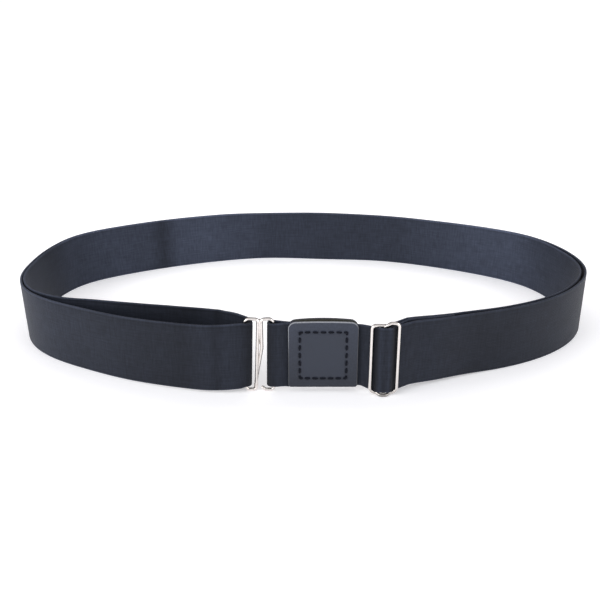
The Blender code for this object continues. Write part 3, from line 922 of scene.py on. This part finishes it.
def hook_wires():
    """Closed half on the left, open hook on the right, soldered along their centre wires."""
    dip_z = WIRE_TOP_Z - HOOK_DIP
    hook_wire_x = HOOK_CENTRE_X + HOOK_WIRE_PITCH
    behind = HOOK_Y + WIRE_RADIUS
    closed_half = wire([
        Corner(HOOK_LEFT_X, HOOK_Y, WIRE_FOOT_Z, HOOK_TIGHT_BEND),
        Corner(HOOK_LEFT_X, HOOK_Y, WIRE_TOP_Z, HOOK_TOP_BEND),
        Corner(HOOK_CENTRE_X, HOOK_Y, dip_z, HOOK_TIGHT_BEND),
        Corner(HOOK_CENTRE_FOOT_X, HOOK_Y, WIRE_FOOT_Z, HOOK_TIGHT_BEND),
    ], closed=True)
    open_half = wire([
        Corner(HOOK_FREE_END_X, HOOK_Y, HOOK_FREE_END_Z, 0),
        Corner(HOOK_FREE_END_X + 2 * WIRE_RADIUS, HOOK_Y, WIRE_FOOT_Z, HOOK_TIGHT_BEND),
        Corner(HOOK_RIGHT_X, HOOK_Y, WIRE_FOOT_Z, HOOK_TIGHT_BEND),
        Corner(HOOK_RIGHT_X, HOOK_Y, WIRE_TOP_Z, HOOK_TOP_BEND),
        Corner(hook_wire_x, HOOK_Y, dip_z, HOOK_TIGHT_BEND),
        Corner(hook_wire_x, HOOK_Y, HOOK_SLANT_Z, HOOK_SLANT_BEND),
        Corner(HOOK_SLANT_FOOT_X, behind, WIRE_FOOT_Z, 0),
    ])
    middle_x = (HOOK_CENTRE_X + hook_wire_x) / 2
    solder = tube(
        [(middle_x, HOOK_Y, row.height * MM) for row in SOLDER_LINE],
        [row.radius * MM for row in SOLDER_LINE],
    )
    points, faces = joined([closed_half, open_half, solder])
    piece = new_piece("hook_wires", points, faces, [nickel_material("nickel_wire")], "nickel_wire")
    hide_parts("hook_clasp")


def slider_wires():
    """Frame bent from one wire, its right end crossing in front of its left, and the centre bar."""
    middle_x, frame_y = SLIDER_MID_X, SLIDER_FRAME_Y
    bow_y = frame_y - BOW_DEPTH
    left_end_z = (SLIDER_LEFT_WIRE_Z + SLIDER_DIP_Z) / 2
    frame_wire = wire([
        Corner(middle_x + SLIDER_LEFT_END.right, frame_y + SLIDER_LEFT_END.behind, left_end_z, 0),
        Corner(middle_x - SLIDER_DIP_WIDTH / 2, frame_y, SLIDER_LEFT_WIRE_Z, SLIDER_DIP_BEND),
        Corner(SLIDER_LEFT_X, frame_y, SLIDER_LEFT_WIRE_Z, SLIDER_CORNER),
        Corner(SLIDER_LEFT_X, frame_y, SLIDER_FOOT_Z, SLIDER_FOOT_CORNER),
        Corner(middle_x - BOW_WIDTH / 2, frame_y, SLIDER_FOOT_Z, BOW_SHOULDER_BEND),
        Corner(middle_x - BOW_FRONT_WIDTH / 2, bow_y, WIRE_FOOT_Z, BOW_BEND),
        Corner(middle_x + BOW_FRONT_WIDTH / 2, bow_y, WIRE_FOOT_Z, BOW_BEND),
        Corner(middle_x + BOW_WIDTH / 2, frame_y, SLIDER_FOOT_Z, BOW_SHOULDER_BEND),
        Corner(SLIDER_RIGHT_X, frame_y, SLIDER_FOOT_Z, SLIDER_FOOT_CORNER),
        Corner(SLIDER_RIGHT_X, frame_y, SLIDER_RIGHT_TOP_Z, SLIDER_CORNER),
        Corner(middle_x + SLIDER_DIP_WIDTH / 2, frame_y, SLIDER_RIGHT_TOP_Z, SLIDER_DIP_BEND),
        Corner(middle_x + SLIDER_RIGHT_END.right, frame_y + SLIDER_RIGHT_END.behind, SLIDER_DIP_Z, 0),
    ], has_point=True)
    centre_bar = wire([
        Corner(middle_x, frame_y, SLIDER_DIP_Z, 0),
        Corner(middle_x, SLIDER_BAR_Y, SLIDER_DIP_Z, WIRE_RADIUS),
        Corner(middle_x, SLIDER_BAR_Y, SLIDER_FOOT_Z, WIRE_RADIUS),
        Corner(middle_x, bow_y, SLIDER_FOOT_Z, 0),
    ])
    points, faces = joined([frame_wire, centre_bar])
    nickel = nickel_material("nickel_wire_slider", has_bow_shade=True)
    piece = new_piece("slider_wires", points, faces, [nickel], "nickel_wire")
    # Painted shade on the front of the bow, low down at the foot
    forward = smooth_step(frame_y - points[:, 1], *BOW_SHADE_Y)
    set_attribute(piece, "bow_shade", forward * (points[:, 2] < BOW_SHADE_Z))
    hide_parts("slider")


# How light each tab's cut edge is painted, at its foot and along its top, where its painted highlight runs
FRONT_EDGE_HIGHLIGHT = (0.25, 1.0)
BACK_EDGE_HIGHLIGHT = (0.08, 0.18)

# How much lower each tab's top is at its corners than in its middle
FRONT_ARCH = 0.4 * MM
BACK_ARCH = 1.0 * MM

# Where the grain fades in, outward across the square of stitches, and the grained border's painted
# light and shade: how much lighter at the tab's top, and how much darker in all
GRAIN_FADE = (-1.0 * MM, 0.3 * MM)
BORDER_LIGHT_RISE = 0.28
BORDER_SHADE_FALL = 0.08

# Where the painted highlight on the cut edge fades in: below the top, and up the left side in shares
# of half the height
HIGHLIGHT_TOP = (3.0 * MM, 0.5 * MM)
HIGHLIGHT_SIDE = (-0.2, 0.8)

TAB_MIDDLE_X = (TAB_LEFT_X + TAB_RIGHT_X) / 2
TAB_MIDDLE_Z = TAB_LIFT + TAB_HEIGHT / 2
TAB_HALF_X = (TAB_RIGHT_X - TAB_LEFT_X) / 2
TAB_HALF_Z = TAB_HEIGHT / 2

Stitch = namedtuple("Stitch", "x z dx dz length")


def tab_stitches():
    """Stitches round the square, seen from the front: middle, direction and length of each."""
    stitches = []
    for dx, dz, side, other in (
        (1, 0, STITCH_WIDTH, STITCH_HEIGHT),
        (0, 1, STITCH_HEIGHT, STITCH_WIDTH),
        (-1, 0, STITCH_WIDTH, STITCH_HEIGHT),
        (0, -1, STITCH_HEIGHT, STITCH_WIDTH),
    ):
        start_x = TAB_MIDDLE_X - dx * side / 2 + dz * other / 2
        start_z = TAB_MIDDLE_Z + STITCH_SHIFT_Z - dz * side / 2 - dx * other / 2
        for i in range(STITCHES_PER_SIDE + 1):
            at_corner = i in (0, STITCHES_PER_SIDE)
            length = STITCH_LENGTH / 2 if at_corner else STITCH_LENGTH
            slide = length / 2 if i == 0 else -length / 2 if at_corner else 0
            distance = i * side / STITCHES_PER_SIDE + slide
            stitches.append(Stitch(start_x + dx * distance, start_z + dz * distance, dx, dz, length))
    return stitches


def dent(x, z, stitches):
    """How deep the thread pulls the leather in at points of its face."""
    depth = np.zeros_like(x)
    for stitch in stitches:
        along = (x - stitch.x) * stitch.dx + (z - stitch.z) * stitch.dz
        beyond = np.maximum(np.abs(along) - stitch.length / 2, 0)
        beside = (x - stitch.x) * stitch.dz - (z - stitch.z) * stitch.dx
        distance = np.hypot(beyond, beside)
        depth = np.maximum(depth, DENT_DEPTH * np.exp(-(distance / DENT_WIDTH) ** 2))
    return depth


def tab_grid(inset, columns=90, plain_rows=80, corner_rows=8):
    """Grid of x and z over a tab's face, whose edge is the tab's outline, moved in by the inset."""
    low, high = TAB_LIFT, TAB_LIFT + TAB_HEIGHT
    reach, heights = [], []
    for angle in np.linspace(math.pi / 2, 0, corner_rows):
        reach.append(TAB_HALF_X - TAB_FOOT_CORNER + (TAB_FOOT_CORNER - inset) * math.cos(angle))
        heights.append(low + TAB_FOOT_CORNER - (TAB_FOOT_CORNER - inset) * math.sin(angle))
    for share in np.linspace(0, 1, plain_rows)[1:-1]:
        reach.append(TAB_HALF_X - inset)
        heights.append(low + TAB_FOOT_CORNER + share * (TAB_HEIGHT - TAB_FOOT_CORNER - TAB_TOP_CORNER))
    for angle in np.linspace(0, math.pi / 2, corner_rows):
        reach.append(TAB_HALF_X - TAB_TOP_CORNER + (TAB_TOP_CORNER - inset) * math.cos(angle))
        heights.append(high - TAB_TOP_CORNER + (TAB_TOP_CORNER - inset) * math.sin(angle))
    shares = np.linspace(-1, 1, columns)
    x = TAB_MIDDLE_X + np.outer(reach, shares)
    z = np.repeat(np.array(heights)[:, None], columns, axis=1)
    return x, z


def edge_loop(count_rows, count_columns):
    """Grid indices once round the edge of the grid."""
    bottom = [(0, j) for j in range(count_columns - 1)]
    right = [(i, count_columns - 1) for i in range(count_rows - 1)]
    top = [(count_rows - 1, j) for j in range(count_columns - 1, 0, -1)]
    left = [(i, 0) for i in range(count_rows - 1, 0, -1)]
    return bottom + right + top + left


def tab_attributes(tab, points, highlight_low, highlight_high):
    """At each point, the leather's grain, its painted light and shade, and the painted highlight on its cut
    edge.
    """
    x = points[:, 0] - TAB_MIDDLE_X
    z = points[:, 2] - TAB_MIDDLE_Z
    beyond = np.maximum(np.abs(x) - STITCH_WIDTH / 2, np.abs(z - STITCH_SHIFT_Z) - STITCH_HEIGHT / 2)
    grain = smooth_step(beyond, *GRAIN_FADE)
    top = smooth_step(z, TAB_HALF_Z - HIGHLIGHT_TOP[0], TAB_HALF_Z - HIGHLIGHT_TOP[1])
    left = (x < 0) * smooth_step(z / TAB_HALF_Z, *HIGHLIGHT_SIDE)
    set_attribute(tab, "grain", grain)
    # Painted light and shade on the grained border: lighter towards the top, darker towards the foot
    set_attribute(tab, "painted_light", 1 + grain * (BORDER_LIGHT_RISE * z / TAB_HALF_Z - BORDER_SHADE_FALL))
    # Painted highlight on the cut edge along the top, fading down the left side
    set_attribute(tab, "painted_highlight", highlight_low + (highlight_high - highlight_low) * np.maximum(top, left))


def arched(points, arch):
    """The tab's points, its upper half drawn down towards both sides."""
    across = (points[:, 0] - TAB_MIDDLE_X) / TAB_HALF_X
    up = np.clip((points[:, 2] - TAB_MIDDLE_Z) / TAB_HALF_Z, 0, 1)
    drop = arch * across ** 2 * up ** 2
    return points - np.column_stack([np.zeros((len(points), 2)), drop])


def edge_profile():
    """Steps over a tab's cut edge, from face to back: distance in from the outline, and depth."""
    bevel = TAB_EDGE_BEVEL
    profile = [(bevel * (1 - math.sin(a)), bevel * (1 - math.cos(a))) for a in np.radians([30, 60, 90])]
    profile += [(inset, TAB_THICKNESS - depth) for inset, depth in reversed(profile)]
    return profile + [(bevel, TAB_THICKNESS)]


def tab_face_y(node, outside):
    """Where a tab's showing face lies; outside is -1 for one that faces forward and 1 for back."""
    near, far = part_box(node)
    return (near.y if outside < 0 else far.y) - OFFSET.y


def tab_shape(face_y, outside, stitches):
    """Points, faces, and how many faces are leather: dented face, round cut edge, one plain back."""
    x, z = tab_grid(TAB_EDGE_BEVEL)
    rows, columns = x.shape
    loop = edge_loop(rows, columns)
    y = face_y - outside * dent(x, z, stitches)
    points = [np.stack([x, y, z], axis=-1).reshape(-1, 3)]
    faces = []
    for i in range(rows - 1):
        for j in range(columns - 1):
            a, b = i * columns + j, (i + 1) * columns + j
            faces.append((a, a + 1, b + 1, b))
    leather_count = len(faces)
    previous = [i * columns + j for i, j in loop]
    start = rows * columns
    for inset, depth in edge_profile():
        ring_x, ring_z = tab_grid(inset)
        points.append(np.array([(ring_x[at], face_y - outside * depth, ring_z[at]) for at in loop]))
        here = list(range(start, start + len(loop)))
        for k in range(len(loop)):
            following = (k + 1) % len(loop)
            faces.append((previous[following], previous[k], here[k], here[following]))
        previous = here
        start += len(loop)
    faces.append(tuple(reversed(previous)))
    if outside > 0:
        faces = [tuple(reversed(face)) for face in faces]
    return np.concatenate(points), faces, leather_count


def leather_tab(name, node, outside, materials, stitches, painted_highlight, arch):
    """One tab, with leather on its face, cut edges, and the flesh side on its back."""
    points, faces, leather_count = tab_shape(tab_face_y(node, outside), outside, stitches)
    tab = new_piece(name, arched(points, arch), faces, materials, "tab_leather")
    tab_attributes(tab, points, *painted_highlight)
    for polygon in tab.data.polygons[leather_count:-1]:
        polygon.material_index = 1
    tab.data.polygons[-1].material_index = 2
    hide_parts(node)


# Height of a stitch's line, in thread radii: on the face, and how far it dives at its ends
STITCH_TOP = 0.75
STITCH_DIVE = 1.9


def stitch_tube(middle, along, outward, length, radius=THREAD_RADIUS, sides=10):
    """One stitch: a short thread that rises from its hole, lies on the face and goes in again."""
    shares = np.linspace(-1, 1, 11)
    height = radius * (STITCH_TOP - STITCH_DIVE * np.abs(shares) ** 6)
    line = middle + np.outer(shares * length / 2, along) + np.outer(height, outward)
    radii = radius * np.sqrt(np.maximum(1 - np.abs(shares) ** 5, 0.16))
    return tube(line, radii, sides)


def tab_thread(name, node, outside, thread, stitches):
    """The stitches that show on one tab."""
    middle_y = tab_face_y(node, outside) - outside * DENT_DEPTH
    outward = np.array([0.0, outside, 0.0])
    chance = np.random.default_rng(STITCH_SEED)
    shapes = []
    for stitch in stitches:
        tilt = chance.normal(0, STITCH_TILT)
        length = stitch.length * chance.uniform(*STITCH_SHARES)
        along = np.array([
            stitch.dx * math.cos(tilt) - stitch.dz * math.sin(tilt),
            0.0,
            stitch.dz * math.cos(tilt) + stitch.dx * math.sin(tilt),
        ])
        middle = np.array([stitch.x, middle_y, stitch.z])
        shapes.append(stitch_tube(middle, along, outward, length))
    new_piece(name, *joined(shapes), [thread], "tab_leather")


# Rows of stitches that close the sewn end round the slider's centre bar, measured from its start
SEAM_ROWS = [6.0 * MM, 9.0 * MM]
SEAM_PITCH = 2.6 * MM
SEAM_MARGIN = 2.0 * MM
SEAM_SUNK = 0.1 * MM
SEAM_STITCH_SHARE = 0.8
SEAM_THREAD_RADIUS = 0.24 * MM


def seam_thread(thread, rows, length, facing, inner_start):
    """Two upright rows of stitches on the inner layer, where the webbing's end is sewn to it."""
    shapes = []
    for distance in SEAM_ROWS:
        i = int(np.searchsorted(length, length[inner_start] + distance))
        low, high = rows[i]
        up = (high - low) / np.linalg.norm(high - low)
        outward = -facing[i] if facing[i][1] < 0 else facing[i]
        span = np.linalg.norm(high - low) - 2 * SEAM_MARGIN
        count = round(span / SEAM_PITCH)
        for k in range(count):
            height = SEAM_MARGIN + (k + 0.5) * span / count
            middle = low + up * height + outward * (WEB_THICKNESS / 2 - SEAM_SUNK)
            stitch_length = SEAM_STITCH_SHARE * span / count
            shapes.append(stitch_tube(middle, up, outward, stitch_length, SEAM_THREAD_RADIUS))
    new_piece("seam_thread", *joined(shapes), [thread], "webbing")


# Stage


FLOOR_HALF = 12.0
FLOOR_COLOUR = (0.86, 0.86, 0.88, 1.0)

# Light that the floor gives off, near the belt's middle and far off, and how near and far that is
FLOOR_GLOW = (0.37, 0.80)
FLOOR_GLOW_REACH = (0.12, 0.7)

# Surroundings, with a bright strip at the horizon. A dark band behind shows as the dark line along
# the tops of the wires. The ranges are parts of a unit direction: up, and to the back.
WORLD_COLOUR = (0.73, 0.735, 0.75, 1.0)
HORIZON_COLOUR = (1.05, 1.05, 1.05, 1.0)
BAND_COLOUR = (0.13, 0.11, 0.10, 1.0)
HORIZON_FADE = (0.04, 0.1)
BAND_START = (0.16, 0.26)
BAND_END = (0.95, 0.98)
BAND_BACK = (0.02, 0.12)

# Soft lights. One that isn't glossy doesn't show as a highlight.
LAMP_COLOUR = (1.0, 0.99, 0.98)
LAMP_AIM = Vector((0.0, 0.0, 0.01))
Lamp = namedtuple("Lamp", "name place size watts glossy")
LAMPS = [
    Lamp("light_behind", (0.0, 0.55, 0.95), (1.6, 0.7), 6.5, False),
    Lamp("light_left", (-1.0, -0.7, 0.55), (0.7, 0.7), 8.0, True),
    Lamp("light_right", (1.0, -0.7, 0.55), (0.7, 0.7), 4.5, True),
]


def floor_material():
    """White sweep, bright enough to be pure white wherever nothing shades it."""
    shader = Shader(
        "floor_white",
        Base_Color=FLOOR_COLOUR,
        Emission_Color=FLOOR_COLOUR,
        Roughness=0.6,
        Specular_IOR_Level=0.1,
    )
    away = shader.node("ShaderNodeVectorMath", {0: shader.place()}, operation="LENGTH").outputs["Value"]
    shader.plug("Emission Strength", shader.remap(away, *FLOOR_GLOW_REACH, *FLOOR_GLOW))
    return shader.material


def studio_world():
    """White surroundings, dark at the back from 12 degrees above level nearly to the top."""
    world = bpy.data.worlds.new("studio")
    world.use_nodes = True
    nodes = Nodes(world.node_tree)
    back, up = nodes.split(nodes.place("Generated"))[1:]
    band = nodes.product(
        nodes.remap(up, *BAND_START, 0.0, 1.0),
        nodes.remap(up, *BAND_END, 1.0, 0.0),
        nodes.remap(back, *BAND_BACK, 0.0, 1.0),
    )
    level = nodes.remap(up, *HORIZON_FADE, 1.0, 0.0)
    sky = nodes.blend(level, WORLD_COLOUR, HORIZON_COLOUR)
    colour = nodes.tree.nodes["Background"].inputs["Color"]
    nodes.tree.links.new(nodes.blend(band, sky, BAND_COLOUR), colour)
    bpy.context.scene.world = world


def make_floor():
    mesh = bpy.data.meshes.new("floor")
    corners = [(x * FLOOR_HALF, y * FLOOR_HALF, 0) for x, y in ((-1, -1), (1, -1), (1, 1), (-1, 1))]
    mesh.from_pydata(corners, [], [(0, 1, 2, 3)])
    mesh.materials.append(floor_material())
    new_object("floor", mesh)


def make_lamp(row):
    light = bpy.data.lights.new(row.name, "AREA")
    light.shape = "RECTANGLE"
    light.size, light.size_y = row.size
    light.energy = row.watts
    light.color = LAMP_COLOUR
    lamp = new_object(row.name, light)
    lamp.location = row.place
    lamp.rotation_euler = (LAMP_AIM - Vector(row.place)).to_track_quat("-Z", "Y").to_euler()
    lamp.visible_glossy = row.glossy


def make_camera():
    camera = bpy.data.cameras.new("camera")
    camera.lens = CAMERA_LENS
    camera.sensor_width = 36.0
    camera.clip_start = 0.01
    camera.clip_end = 50.0
    eye = new_object("camera", camera)
    eye.location = OFFSET + Vector((0, -CAMERA_BACK, CAMERA_HEIGHT))
    eye.rotation_euler = (math.pi / 2 - CAMERA_DOWN, 0, 0)
    bpy.context.scene.camera = eye


def set_colour_view():
    """Plain colours, so that a value in a material is the value in the picture."""
    view = bpy.context.scene.view_settings
    view.view_transform = "Standard"
    view.look = "None"
    view.exposure = 0.0


def main():
    rows, inner_start = ribbon_rows()
    length, facing = ribbon_frames(rows)
    leather = [leather_material(), cut_edge_material(), flesh_side_material()]
    thread = thread_material()
    stitches = tab_stitches()
    hook_wires()
    slider_wires()
    elastic_webbing(rows, length, facing)
    leather_tab("tab_front", "leather_tab_front", -1, leather, stitches, FRONT_EDGE_HIGHLIGHT, FRONT_ARCH)
    leather_tab("tab_back", "leather_tab_back", 1, leather, stitches, BACK_EDGE_HIGHLIGHT, BACK_ARCH)
    tab_thread("tab_thread_front", "leather_tab_front", -1, thread, stitches)
    tab_thread("tab_thread_back", "leather_tab_back", 1, thread, stitches)
    seam_thread(thread, rows, length, facing, inner_start)
    make_floor()
    studio_world()
    for row in LAMPS:
        make_lamp(row)
    make_camera()
    set_colour_view()


main()
